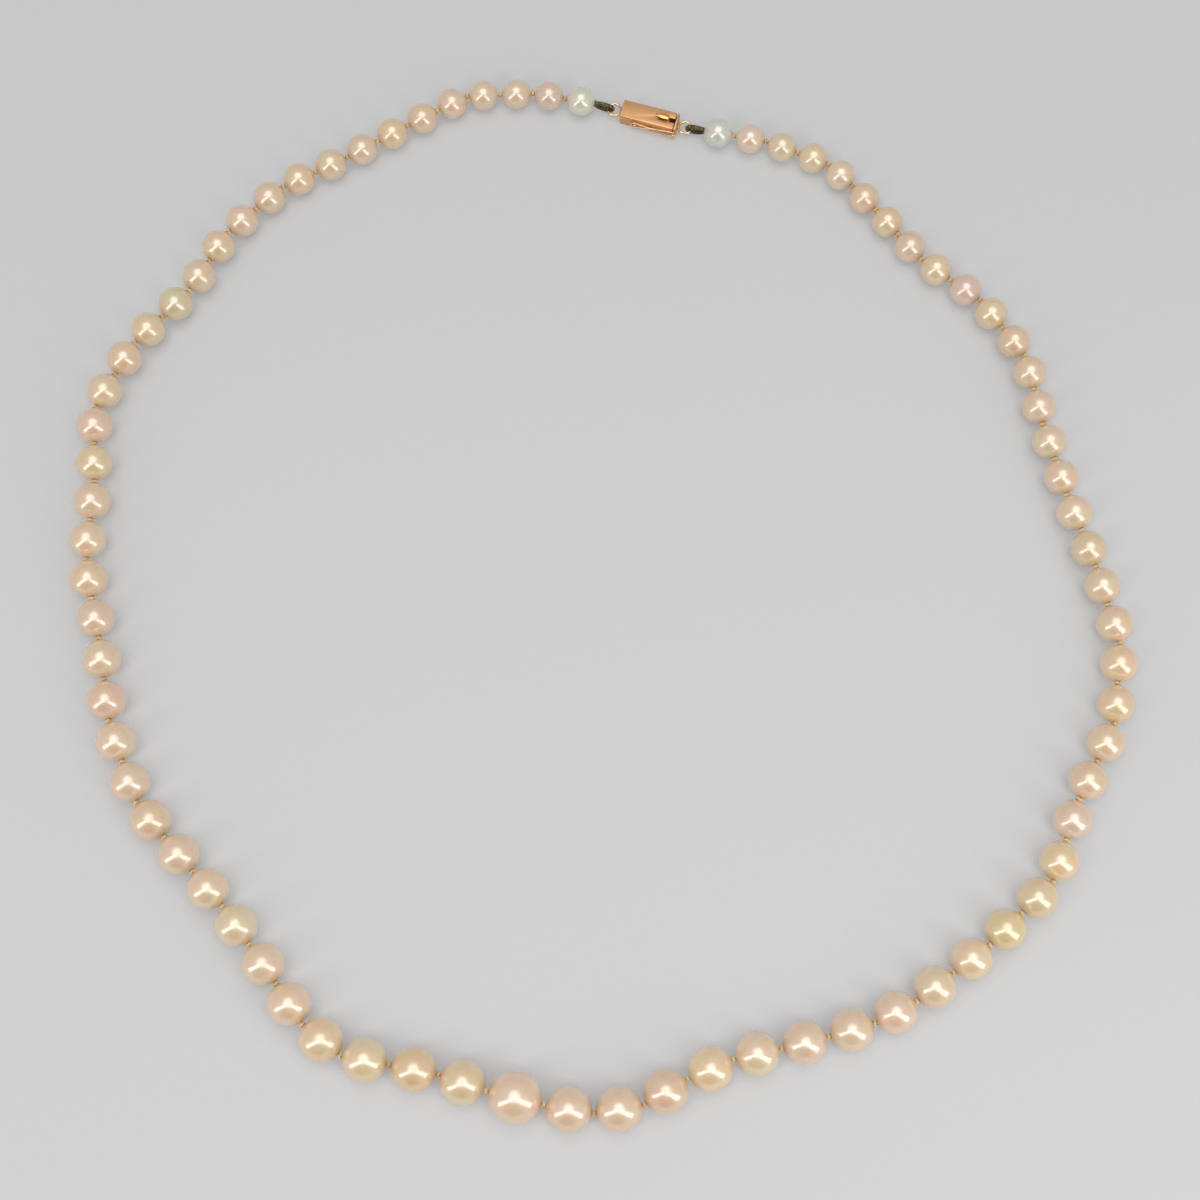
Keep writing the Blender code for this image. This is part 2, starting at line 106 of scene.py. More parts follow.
def corners(node):
    """The points of a CAD node's mesh, in metres."""
    return np.array([v.co for v in frame["nodes"][node].data.vertices], float)


def tips(points):
    """The two points of a set that lie furthest apart."""
    gaps = np.linalg.norm(points[:, None] - points[None], axis=2)
    first, last = np.unravel_index(gaps.argmax(), gaps.shape)
    return Vector(points[first]), Vector(points[last])


def link_numbers(node):
    """Pearl numbers of a link, from its clasp side to its front side."""
    numbers = sorted(int(part) for part in node.split("_")[1:])
    return numbers if numbers[-1] <= MIDDLE else numbers[::-1]


links = sorted((n for n in frame["nodes"] if n.startswith("pearl")), key=lambda n: min(link_numbers(n)))
pearl_at, knot_at = {}, {}
for index, node in enumerate(links):
    numbers = link_numbers(node)
    body = frame["nodes"][node]["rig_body"]
    towards_front = links[index + 1] if numbers[-1] <= MIDDLE else links[index - 1]
    aim = Vector(corners(towards_front).mean(0))
    near, far = sorted(tips(corners(node)), key=lambda tip: -(tip - aim).length)
    direction = (far - near).normalized()
    first_of_side = numbers[0] in (1, PEARL_COUNT)
    pivot = near + direction * (-KNOT_ROOM / 2 if first_of_side else KNOT_TIP) * MM
    along = 0.0
    for number in numbers:
        if along > 0 or not first_of_side:
            before = number - 1 if number <= MIDDLE else number + 1
            pair = min(before, number), max(before, number)
            knot_at[pair] = (pivot + direction * along * MM, direction, body)
        along += KNOT_ROOM / 2 + pearl_radius(number)
        pearl_at[number] = (pivot + direction * along * MM, direction, body, node)
        along += pearl_radius(number) + KNOT_ROOM / 2
    if numbers[-1] == MIDDLE:
        knot_at[MIDDLE, MIDDLE + 1] = (pivot + direction * along * MM, direction, body)


def deselect():
    """Leave edit mode, with nothing selected."""
    if bpy.context.object and bpy.context.object.mode == "EDIT":
        bpy.ops.object.mode_set(mode="OBJECT")
    bpy.ops.object.select_all(action="DESELECT")


def start(name):
    """Name the primitive that was just added."""
    piece = bpy.context.object
    piece.name = piece.data.name = name
    return piece


def pick(piece, wanted, kind="VERT"):
    """In edit mode, select only the points, edges or faces that wanted() is true of, by their place."""
    bpy.ops.object.mode_set(mode="EDIT")
    bpy.ops.mesh.select_mode(type=kind)
    mesh = bmesh.from_edit_mesh(piece.data)
    groups = {"VERT": mesh.verts, "EDGE": mesh.edges, "FACE": mesh.faces}
    for element in list(mesh.faces) + list(mesh.edges) + list(mesh.verts):
        element.select = False
    for element in groups[kind]:
        element.select = wanted(element)
    mesh.select_flush_mode()
    bmesh.update_edit_mesh(piece.data)


def apply_all(piece):
    """Apply every modifier and the object's own place, turn and scale."""
    bpy.ops.object.mode_set(mode="OBJECT")
    deselect()
    piece.select_set(True)
    bpy.context.view_layer.objects.active = piece
    for modifier in list(piece.modifiers):
        bpy.ops.object.modifier_apply(modifier=modifier.name)
    bpy.ops.object.transform_apply(location=True, rotation=True, scale=True)


def settle(piece, place, body, nodes, material, smooth=35):
    """Put a finished piece, made in millimetres, at its place on the necklace."""
    apply_all(piece)
    piece.data.transform(place @ Matrix.Scale(MM, 4))
    piece.data.materials.clear()
    piece.data.materials.append(material)
    if smooth:
        bpy.ops.object.shade_smooth_by_angle(angle=math.radians(smooth))
    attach(piece, body)
    if nodes:
        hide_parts(*nodes)


def axis_frame(point, direction):
    """Place with Z along a cord, and X level."""
    side = Vector((0, 0, 1)).cross(direction).normalized()
    return Matrix.Translation(point) @ Matrix((side, direction.cross(side), direction)).transposed().to_4x4()


def new_group(name, inputs, outputs):
    """An empty shader node group with these sockets, and its two end nodes."""
    group = bpy.data.node_groups.new(name, "ShaderNodeTree")
    for label, kind, value in inputs:
        socket = group.interface.new_socket(label, in_out="INPUT", socket_type=kind)
        socket.default_value = value
    for label, kind in outputs:
        group.interface.new_socket(label, in_out="OUTPUT", socket_type=kind)
    return group, group.nodes.new("NodeGroupInput"), group.nodes.new("NodeGroupOutput")


def new_material(name, roughness=0.5, metallic=0.0):
    """A material with a plain shader, and its nodes and links."""
    material = bpy.data.materials.new(name)
    material.use_nodes = True
    shader = material.node_tree.nodes["Principled BSDF"]
    shader.inputs["Roughness"].default_value = roughness
    shader.inputs["Metallic"].default_value = metallic
    return material, shader, material.node_tree.nodes, material.node_tree.links


def texture(tree, scale, detail=3.0, rough=0.5):
    """Noise over the piece, scale in waves a metre."""
    node = tree.nodes.new("ShaderNodeTexNoise")
    node.inputs["Scale"].default_value = scale
    node.inputs["Detail"].default_value = detail
    node.inputs["Roughness"].default_value = rough
    place = tree.nodes.new("ShaderNodeTexCoord")
    tree.links.new(place.outputs["Object"], node.inputs["Vector"])
    return node


def blend_colour(tree, mode="MIX"):
    """The sockets of a colour mix: share, lower colour, upper colour, result."""
    node = tree.nodes.new("ShaderNodeMix")
    node.data_type = "RGBA"
    node.blend_type = mode
    return node.inputs["Factor"], node.inputs["A"], node.inputs["B"], node.outputs["Result"]


def stretch(tree, low, high, new_low=0.0, new_high=1.0):
    """A node that maps one range of values to another."""
    node = tree.nodes.new("ShaderNodeMapRange")
    node.inputs["From Min"].default_value = low
    node.inputs["From Max"].default_value = high
    node.inputs["To Min"].default_value = new_low
    node.inputs["To Max"].default_value = new_high
    return node


# nacre: rose and green overtones drift over the body colour, with a faint mottling and fine terraces
OVERTONE_SCALE = 340       # waves a metre
MOTTLE_SCALE = 1500
TERRACE_SCALE = 5200
ROSE = (0.92, 0.58, 0.50, 1)
GREEN = (0.72, 0.72, 0.50, 1)
nacre_group, ends_in, ends_out = new_group(
    "nacre_overtone",
    [("Body", "NodeSocketColor", (*CREAM, 1)), ("Overtone", "NodeSocketFloat", 0.5),
     ("Mottling", "NodeSocketFloat", 0.5)],
    [("Colour", "NodeSocketColor"), ("Height", "NodeSocketFloat")])
drift = texture(nacre_group, OVERTONE_SCALE, 2.0)
rose_part = stretch(nacre_group, 0.50, 0.68)
green_part = stretch(nacre_group, 0.48, 0.33)
nacre_group.links.new(drift.outputs["Fac"], rose_part.inputs["Value"])
nacre_group.links.new(drift.outputs["Fac"], green_part.inputs["Value"])
previous = ends_in.outputs["Body"]
for part, tint in ((rose_part, ROSE), (green_part, GREEN)):
    amount = nacre_group.nodes.new("ShaderNodeMath")
    amount.operation = "MULTIPLY"
    nacre_group.links.new(part.outputs["Result"], amount.inputs[0])
    nacre_group.links.new(ends_in.outputs["Overtone"], amount.inputs[1])
    factor, under, over, mixed = blend_colour(nacre_group)
    nacre_group.links.new(amount.outputs[0], factor)
    nacre_group.links.new(previous, under)
    over.default_value = tint
    previous = mixed
mottle = texture(nacre_group, MOTTLE_SCALE, 4.0, 0.6)
mottle_part = stretch(nacre_group, 0.42, 0.66)
mottle_amount = nacre_group.nodes.new("ShaderNodeMath")
mottle_amount.operation = "MULTIPLY"
nacre_group.links.new(mottle.outputs["Fac"], mottle_part.inputs["Value"])
nacre_group.links.new(mottle_part.outputs["Result"], mottle_amount.inputs[0])
nacre_group.links.new(ends_in.outputs["Mottling"], mottle_amount.inputs[1])
factor, under, over, mixed = blend_colour(nacre_group, "MULTIPLY")
nacre_group.links.new(mottle_amount.outputs[0], factor)
nacre_group.links.new(previous, under)
over.default_value = (0.93, 0.88, 0.80, 1)
nacre_group.links.new(mixed, ends_out.inputs["Colour"])
terraces = texture(nacre_group, TERRACE_SCALE, 2.0)
nacre_group.links.new(terraces.outputs["Fac"], ends_out.inputs["Height"])

nacre, shader, nodes, links_of = new_material("nacre", roughness=0.34, metallic=0.10)
overtone = nodes.new("ShaderNodeGroup")
overtone.node_tree = nacre_group
overtone.inputs["Overtone"].default_value = 0.22
overtone.inputs["Mottling"].default_value = 0.35
body_colour = nodes.new("ShaderNodeAttribute")
body_colour.attribute_name = "body_colour"
links_of.new(body_colour.outputs["Color"], overtone.inputs["Body"])
links_of.new(overtone.outputs["Colour"], shader.inputs["Base Color"])
relief = nodes.new("ShaderNodeBump")
relief.inputs["Strength"].default_value = 0.03
relief.inputs["Distance"].default_value = 0.00002
links_of.new(overtone.outputs["Height"], relief.inputs["Height"])
links_of.new(relief.outputs["Normal"], shader.inputs["Normal"])
shader.inputs["IOR"].default_value = 1.66
shader.inputs["Subsurface Weight"].default_value = 0.25
shader.inputs["Subsurface Radius"].default_value = (1.0, 0.7, 0.45)
shader.inputs["Subsurface Scale"].default_value = 0.0008
shader.inputs["Coat Weight"].default_value = 1.0
shader.inputs["Coat Roughness"].default_value = 0.115
shader.inputs["Coat IOR"].default_value = 2.10
shader.inputs["Sheen Weight"].default_value = 0.12
shader.inputs["Sheen Roughness"].default_value = 0.35
shader.inputs["Sheen Tint"].default_value = (1.0, 0.95, 0.78, 1)

# one pearl is lapped and drilled on the bench, at radius 1 with its hole along Z
deselect()
bpy.ops.mesh.primitive_uv_sphere_add(segments=PEARL_SIDES, ring_count=PEARL_BANDS, radius=1)
bench_pearl = start("bench_pearl")
pick(bench_pearl, lambda v: abs(v.co.z) > 0.999)
bpy.ops.mesh.delete(type="VERT")
for way in (1, -1):
    pick(bench_pearl, lambda v: v.co.z * way > 0.98)
    bpy.ops.mesh.extrude_region_move(TRANSFORM_OT_translate={"value": (0, 0, -RIM_STEP * way)})
    bpy.ops.transform.resize(value=(HOLE_NARROWING, HOLE_NARROWING, 1))
    bpy.ops.mesh.extrude_region_move(TRANSFORM_OT_translate={"value": (0, 0, -0.30 * way)})
pick(bench_pearl, lambda v: math.hypot(v.co.x, v.co.y) < SKIN_EDGE and abs(v.co.z) < 0.8)
bpy.ops.mesh.bridge_edge_loops()
bpy.ops.mesh.select_all(action="SELECT")
bpy.ops.mesh.normals_make_consistent(inside=False)
bpy.ops.object.mode_set(mode="OBJECT")

matcher = random.Random(77)
for number in range(1, PEARL_COUNT + 1):
    point, direction, body, node = pearl_at[number]
    bead = bench_pearl.copy()
    bead.data = bench_pearl.data.copy()
    bead.name = bead.data.name = f"bead_{number:02d}"
    bpy.context.collection.objects.link(bead)
    seed = Vector([matcher.uniform(-50, 50) for _ in range(3)])
    pits = []
    for _ in range(matcher.choice((0, 0, 1, 1, 2))):
        pit = Vector([matcher.gauss(0, 1) for _ in range(3)]).normalized()
        pits.append((pit, matcher.uniform(0.05, 0.11)))
    if number == STAINED:
        pits.append((Vector((0.3, -0.9, 0.25)).normalized(), 0.16))
    for vertex in bead.data.vertices:
        way = vertex.co.normalized()
        if math.hypot(vertex.co.x, vertex.co.y) > SKIN_EDGE:
            swell = -OUT_OF_ROUND * (1 + noise.noise(way * 1.4 + seed))
            for pit, width in pits:
                swell -= PIT_DEPTH * width * math.exp(-((way - pit).length / width) ** 2)
            vertex.co = vertex.co * (1 + swell)
    shade = SHADES.get(number, CREAM)
    spread = matcher.gauss(0, 0.010), matcher.gauss(0, 0.012), matcher.gauss(0, 0.018)
    shade = [min(0.9, max(0.2, c + d)) for c, d in zip(shade, spread)]
    paint = bead.data.attributes.new("body_colour", "FLOAT_COLOR", "POINT")
    for vertex, painted in zip(bead.data.vertices, paint.data):
        tone = shade
        if number == STAINED:
            near_pit = math.exp(-((vertex.co.normalized() - pits[-1][0]).length / STAIN_WIDTH) ** 2)
            tone = [c * (1 - near_pit) + s * near_pit for c, s in zip(shade, AMBER)]
        painted.color = (*tone, 1)
    place = axis_frame(point, direction) @ Matrix.Scale(pearl_radius(number), 4)
    settle(bead, place, body, [node], nacre, smooth=40)
bpy.data.objects.remove(bench_pearl)

# ---------------------------------------------------------------------------------------------
# Silk. One cord of twisted silk, yellowed with wear, with an overhand knot pulled tight between
# every two pearls, so that they don't rub, and run into the drill hole on each side of the knot.
# ---------------------------------------------------------------------------------------------
STRAND_RADIUS = 0.15
KNOT_TURN = 0.118          # radius of the small turn of the knot
STUB_RADIUS = 0.18         # the straight cord through the knot, with its broken edge
STUB_LENGTH = 1.00
STUB_EDGE = 0.06
KNOT_STEPS = 48
YARN = (0.80, 0.58, 0.29, 1)
GRIME = (0.64, 0.40, 0.16, 1)

silk_group, ends_in, ends_out = new_group(
    "silk_ply",
    [("Yarn", "NodeSocketColor", YARN), ("Grime", "NodeSocketColor", GRIME)],
    [("Colour", "NodeSocketColor"), ("Height", "NodeSocketFloat")])
fibre = texture(silk_group, 9000, 5.0, 0.7)
soil = texture(silk_group, 700, 2.0)
soil_part = stretch(silk_group, 0.35, 0.70)
silk_group.links.new(soil.outputs["Fac"], soil_part.inputs["Value"])
factor, under, over, mixed = blend_colour(silk_group)
silk_group.links.new(soil_part.outputs["Result"], factor)
silk_group.links.new(ends_in.outputs["Yarn"], under)
silk_group.links.new(ends_in.outputs["Grime"], over)
silk_group.links.new(mixed, ends_out.inputs["Colour"])
silk_group.links.new(fibre.outputs["Fac"], ends_out.inputs["Height"])

silk, shader, nodes, links_of = new_material("silk", roughness=0.62)
ply = nodes.new("ShaderNodeGroup")
ply.node_tree = silk_group
ply.inputs["Yarn"].default_value = YARN
ply.inputs["Grime"].default_value = GRIME
links_of.new(ply.outputs["Colour"], shader.inputs["Base Color"])
relief = nodes.new("ShaderNodeBump")
relief.inputs["Strength"].default_value = 0.5
relief.inputs["Distance"].default_value = 0.00004
links_of.new(ply.outputs["Height"], relief.inputs["Height"])
links_of.new(relief.outputs["Normal"], shader.inputs["Normal"])
shader.inputs["Sheen Weight"].default_value = 0.4
shader.inputs["Subsurface Weight"].default_value = 0.3
shader.inputs["Subsurface Radius"].default_value = (1.0, 0.6, 0.3)
shader.inputs["Subsurface Scale"].default_value = 0.0003


def wire(name, points, radius, sides=2, cyclic=True, smooth=False):
    """A round wire or strand along points in millimetres, as a mesh."""
    curve = bpy.data.curves.new(name, "CURVE")
    curve.dimensions = "3D"
    curve.bevel_depth = radius
    curve.bevel_resolution = sides
    curve.use_fill_caps = not cyclic
    spline = curve.splines.new("BEZIER" if smooth else "POLY")
    if smooth:
        spline.bezier_points.add(len(points) - 1)
        for knob, co in zip(spline.bezier_points, points):
            knob.co = co
            knob.handle_left_type = knob.handle_right_type = "AUTO"
    else:
        spline.points.add(len(points) - 1)
        for knob, co in zip(spline.points, points):
            knob.co = (*co, 1)
    spline.use_cyclic_u = cyclic
    piece = bpy.data.objects.new(name, curve)
    bpy.context.collection.objects.link(piece)
    deselect()
    piece.select_set(True)
    bpy.context.view_layer.objects.active = piece
    bpy.ops.object.convert(target="MESH")
    return bpy.context.object


def join(main, *others):
    """Make several meshes one piece."""
    for piece in (main, *others):
        apply_all(piece)
    deselect()
    for piece in (main, *others):
        piece.select_set(True)
    bpy.context.view_layer.objects.active = main
    bpy.ops.object.join()
    return main


knot_line = []
for step in range(KNOT_STEPS):
    t = math.tau * step / KNOT_STEPS
    reach = KNOT_TURN * (2 + math.cos(3 * t))
    knot_line.append((reach * math.cos(2 * t), reach * math.sin(2 * t), KNOT_TURN * math.sin(3 * t)))
bench_knot = wire("bench_knot", knot_line, STRAND_RADIUS, sides=1)
deselect()
bpy.ops.mesh.primitive_cylinder_add(vertices=8, radius=STUB_RADIUS, depth=STUB_LENGTH)
stub = start("stub")
pick(stub, lambda f: abs(f.normal.z) > 0.9, "FACE")
bpy.ops.mesh.bevel(offset=STUB_EDGE, segments=1)
join(bench_knot, stub)

for pair, (point, direction, body) in sorted(knot_at.items()):
    knot = bench_knot.copy()
    knot.data = bench_knot.data.copy()
    knot.name = knot.data.name = f"silk_knot_{pair[0]:02d}_{pair[1]:02d}"
    bpy.context.collection.objects.link(knot)
    turn = Matrix.Rotation(matcher.uniform(0, math.tau), 4, "Z")
    settle(knot, axis_frame(point, direction) @ turn, body, [], silk, smooth=60)
bpy.data.objects.remove(bench_knot)

# ---------------------------------------------------------------------------------------------
# Gimps. A fine coil of gilt wire, threaded over the silk where it loops through each end ring of
# the clasp, so that the ring doesn't saw through it. The gilding is gone and the copper is green.
# ---------------------------------------------------------------------------------------------
GIMP_OUTER = 0.35          # radius of the coil
GIMP_STRAND = 0.065        # radius of the wire that it is coiled from
GIMP_PITCH = 0.15
GIMP_HALF = 0.56           # half the height of the loop, along the coil's middle
GIMP_BAR_PLAY = 0.31       # from the middle of the ring's wire to the coil
GIMP_ENTRY = 0.12          # how far the coil's ends go into the pearl
GIMP_STEPS = 8             # points in a turn of the coil
BARE_COPPER = (0.085, 0.055, 0.030, 1)
VERDIGRIS = (0.17, 0.20, 0.08, 1)

gimp_metal, shader, nodes, links_of = new_material("tarnished_gimp", roughness=0.48, metallic=0.75)
tree = gimp_metal.node_tree
patches = texture(tree, 1400, 4.0, 0.6)
green = stretch(tree, 0.42, 0.62)
links_of.new(patches.outputs["Fac"], green.inputs["Value"])
factor, under, over, mixed = blend_colour(tree)
links_of.new(green.outputs["Result"], factor)
under.default_value = BARE_COPPER
over.default_value = VERDIGRIS
links_of.new(mixed, shader.inputs["Base Color"])
dull = stretch(tree, 0.42, 0.62, 0.35, 0.7)
links_of.new(patches.outputs["Fac"], dull.inputs["Value"])
links_of.new(dull.outputs["Result"], shader.inputs["Roughness"])

for side, number in (("left", 1), ("right", PEARL_COUNT)):
    node = f"gimp_{side}"
    body = frame["nodes"][node]["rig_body"]
    bar = Vector(next(joint for joint in frame["joints"] if joint["child"] == body)["pos_m"])
    bead_point, direction, _, _ = pearl_at[number]
    inward = 1 if (bead_point + direction - bar).length > (bead_point - direction - bar).length else -1
    hole = bead_point - direction * inward * (pearl_radius(number) - GIMP_ENTRY) * MM
    points = corners(node)
    level_axis = Vector(np.linalg.eigh(np.cov((points - points.mean(0)).T))[1][:, 1])
    along = (hole - bar).normalized()
    up = (level_axis - along * level_axis.dot(along)).normalized()
    place = Matrix.Translation(bar) @ Matrix((along, up, along.cross(up))).transposed().to_4x4()
    reach = (hole - bar).length / MM
    near = -GIMP_BAR_PLAY - GIMP_OUTER
    outline = [Vector((x, y, 0)) for x, y in (
        (reach, 0.17), (reach - 0.45, 0.33), (reach * 0.50, GIMP_HALF),
        (0.10, GIMP_HALF), (near + 0.16, GIMP_HALF * 0.62), (near, 0))]
    outline += [Vector((p.x, -p.y, 0)) for p in reversed(outline[:-1])]
    gaps = [(b - a).length for a, b in zip(outline, outline[1:])]
    turns = round(sum(gaps) / GIMP_PITCH)
    helix, core = [], []
    for step in range(turns * GIMP_STEPS + 1):
        far = sum(gaps) * step / (turns * GIMP_STEPS)
        leg = 0
        while leg < len(gaps) - 1 and far > gaps[leg]:
            far -= gaps[leg]
            leg += 1
        share = far / gaps[leg]
        before = outline[max(leg - 1, 0)]
        after = outline[min(leg + 2, len(outline) - 1)]
        p, q = outline[leg], outline[leg + 1]
        centre = 0.5 * (2 * p + (q - before) * share + (2 * before - 5 * p + 4 * q - after) * share ** 2
                        + (3 * p - before - 3 * q + after) * share ** 3)
        out = Vector(((q - p).y, -(q - p).x, 0)).normalized()
        spin = math.tau * step / GIMP_STEPS
        coil = GIMP_OUTER - GIMP_STRAND
        helix.append(centre + out * coil * math.cos(spin) + Vector((0, 0, coil * math.sin(spin))))
        if step % GIMP_STEPS == 0:
            core.append(centre)
    coil_piece = wire(f"coiled_{node}", helix, GIMP_STRAND, sides=1, cyclic=False)
    settle(coil_piece, place, body, [node], gimp_metal, smooth=60)
    loop = wire(f"silk_loop_{side}", core, GIMP_OUTER - 1.6 * GIMP_STRAND, sides=2, cyclic=False)
    settle(loop, place, body, [], silk, smooth=60)

# ---------------------------------------------------------------------------------------------
# Clasp box. A tray bent up from thin sheet of rose gold, with a lid soldered on, a keyhole slot in
# the lid for the thumb piece, an end ring, and a ball stud on its front wall. Satin, with the
# edges rubbed bright.
# ---------------------------------------------------------------------------------------------
SHEET = 0.25
TRAY_EDGE = 0.09
LID_EDGE = 0.06
SLOT_WIDTH = 0.72
SLOT_LENGTH = 2.5
SLOT_HEAD = 0.56           # radius of the keyhole's round end, a share of the slot's width
RING_WIRE = 0.18           # radius
SOLDER = (0.17, 0.46, 0.27)              # half sizes of the drop of solder
SOLDER_DEPTH = 0.10        # from the ring's outer edge to the middle of the solder
STUD_NECK = 1.9            # from the ball's outer end to its neck, in ball radii
STUD_FLARE = 1.9           # how much the neck widens to its foot
RUBBED_LEAN = 0.985        # a face that squares with the clasp less than this is a rubbed edge

slide = next(joint for joint in frame["joints"] if joint["name"] == "tongue_slide")
clasp_x = Vector(slide["axis"]).normalized()
low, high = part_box("clasp_box")
clasp_middle = Vector(((low.x + high.x) / 2, (low.y + high.y) / 2, 0))
clasp_y = Vector((0, 0, 1)).cross(clasp_x)
clasp_turn = Matrix((clasp_x, clasp_y, Vector((0, 0, 1)))).transposed()
clasp_place = Matrix.Translation(clasp_middle) @ clasp_turn.to_4x4()


def local_box(node):
    """Lowest and highest corner of a CAD node in the clasp's own frame, in millimetres."""
    inside = clasp_place.inverted()
    points = np.array([inside @ Vector(co) for co in corners(node)]) / MM
    return Vector(points.min(0)), Vector(points.max(0))


def block(name, low, high):
    """A block between two corners, to be shaped further."""
    deselect()
    bpy.ops.mesh.primitive_cube_add(size=1, location=(low + high) / 2, scale=high - low)
    piece = start(name)
    apply_all(piece)
    return piece


def finish_edges(piece, width, angle=40):
    """Break the edges of a piece that are sharper than an angle."""
    modifier = piece.modifiers.new("edge", "BEVEL")
    modifier.width = width
    modifier.segments = 2
    modifier.angle_limit = math.radians(angle)


# satin gold: fine scratches along the clasp, a slow change of tone, and bright rubbed edges
satin_group, ends_in, ends_out = new_group(
    "satin_gold",
    [("Gold", "NodeSocketColor", (0.85, 0.55, 0.33, 1)), ("Worn", "NodeSocketFloat", 0.0),
     ("Satin", "NodeSocketFloat", 0.56), ("Bright", "NodeSocketFloat", 0.22)],
    [("Colour", "NodeSocketColor"), ("Roughness", "NodeSocketFloat"), ("Height", "NodeSocketFloat")])
place_node = satin_group.nodes.new("ShaderNodeTexCoord")
turned = satin_group.nodes.new("ShaderNodeMapping")
turned.inputs["Rotation"].default_value = (0, 0, -math.atan2(clasp_x.y, clasp_x.x))
turned.inputs["Scale"].default_value = (0.06, 1, 1)
scratches = satin_group.nodes.new("ShaderNodeTexNoise")
scratches.inputs["Scale"].default_value = 9000
scratches.inputs["Detail"].default_value = 3
satin_group.links.new(place_node.outputs["Object"], turned.inputs["Vector"])
satin_group.links.new(turned.outputs["Vector"], scratches.inputs["Vector"])
tone = texture(satin_group, 420, 3.0)
tone_part = stretch(satin_group, 0.35, 0.65)
satin_group.links.new(tone.outputs["Fac"], tone_part.inputs["Value"])
factor, under, over, mixed = blend_colour(satin_group, "MULTIPLY")
satin_group.links.new(tone_part.outputs["Result"], factor)
satin_group.links.new(ends_in.outputs["Gold"], under)
over.default_value = (0.95, 0.90, 0.84, 1)
satin_group.links.new(mixed, ends_out.inputs["Colour"])
rough_mix = satin_group.nodes.new("ShaderNodeMix")
satin_group.links.new(ends_in.outputs["Worn"], rough_mix.inputs["Factor"])
satin_group.links.new(ends_in.outputs["Satin"], rough_mix.inputs["A"])
satin_group.links.new(ends_in.outputs["Bright"], rough_mix.inputs["B"])
satin_group.links.new(rough_mix.outputs["Result"], ends_out.inputs["Roughness"])
satin_group.links.new(scratches.outputs["Fac"], ends_out.inputs["Height"])


def gold_material(name, colour, roughness, scratch, worn_edges=None):
    """Gold in one finish; sheet pieces also have a roughness for their worn edges."""
    material, shader, nodes, wiring = new_material(name, roughness, metallic=1.0)
    grain = nodes.new("ShaderNodeGroup")
    grain.node_tree = satin_group
    grain.inputs["Gold"].default_value = (*colour, 1)
    if worn_edges is not None:
        grain.inputs["Satin"].default_value = roughness
        grain.inputs["Bright"].default_value = worn_edges
        rubbed = nodes.new("ShaderNodeAttribute")
        rubbed.attribute_name = "rubbed"
        wiring.new(rubbed.outputs["Fac"], grain.inputs["Worn"])
        wiring.new(grain.outputs["Roughness"], shader.inputs["Roughness"])
    bump = nodes.new("ShaderNodeBump")
    bump.inputs["Strength"].default_value = scratch
    bump.inputs["Distance"].default_value = 0.00001
    wiring.new(grain.outputs["Colour"], shader.inputs["Base Color"])
    wiring.new(grain.outputs["Height"], bump.inputs["Height"])
    wiring.new(bump.outputs["Normal"], shader.inputs["Normal"])
    return material


satin_gold = gold_material("satin_rose_gold", (0.78, 0.46, 0.235), 0.56, 0.45, worn_edges=0.22)
wire_gold = gold_material("polished_gold_wire", (0.90, 0.62, 0.38), 0.20, 0.08)
thumb_gold = gold_material("thumb_gold", (0.92, 0.48, 0.18), 0.22, 0.08)


def rub(piece):
    """Mark the faces that a bevel made, which lean away from the clasp's own directions."""
    apply_all(piece)
    rubbed = piece.data.attributes.new("rubbed", "FLOAT", "FACE")
    for face, mark in zip(piece.data.polygons, rubbed.data):
        mark.value = 1.0 if max(abs(c) for c in face.normal) < RUBBED_LEAN else 0.0


low, high = local_box("clasp_box")
tray = block("box_tray", low, high)
pick(tray, lambda f: f.normal.z > 0.9 or f.normal.x > 0.9, "FACE")
bpy.ops.mesh.delete(type="FACE")
bpy.ops.object.mode_set(mode="OBJECT")
walls = tray.modifiers.new("sheet", "SOLIDIFY")
walls.thickness = SHEET
walls.offset = -1
walls.use_even_offset = True
finish_edges(tray, TRAY_EDGE)
rub(tray)
settle(tray, clasp_place, "clasp_box", ["clasp_box"], satin_gold)

low, high = local_box("clasp_lid")
lid = block("box_lid", low, high)
slot_end = high.x - SLOT_LENGTH
slot = block("slot", Vector((slot_end + SLOT_WIDTH / 2, -SLOT_WIDTH / 2, low.z - 1)),
             Vector((high.x + 1, SLOT_WIDTH / 2, high.z + 1)))
deselect()
bpy.ops.mesh.primitive_cylinder_add(vertices=32, radius=SLOT_WIDTH * SLOT_HEAD, depth=4,
                                    location=(slot_end + SLOT_WIDTH / 2, 0, high.z))
slot_head = start("slot_head")
for tool in (slot, slot_head):
    cut = lid.modifiers.new(tool.name, "BOOLEAN")
    cut.object = tool
    cut.operation = "DIFFERENCE"
apply_all(lid)
bpy.data.objects.remove(slot)
bpy.data.objects.remove(slot_head)
finish_edges(lid, LID_EDGE, angle=30)
rub(lid)
settle(lid, clasp_place, "clasp_box", ["clasp_lid"], satin_gold, smooth=30)


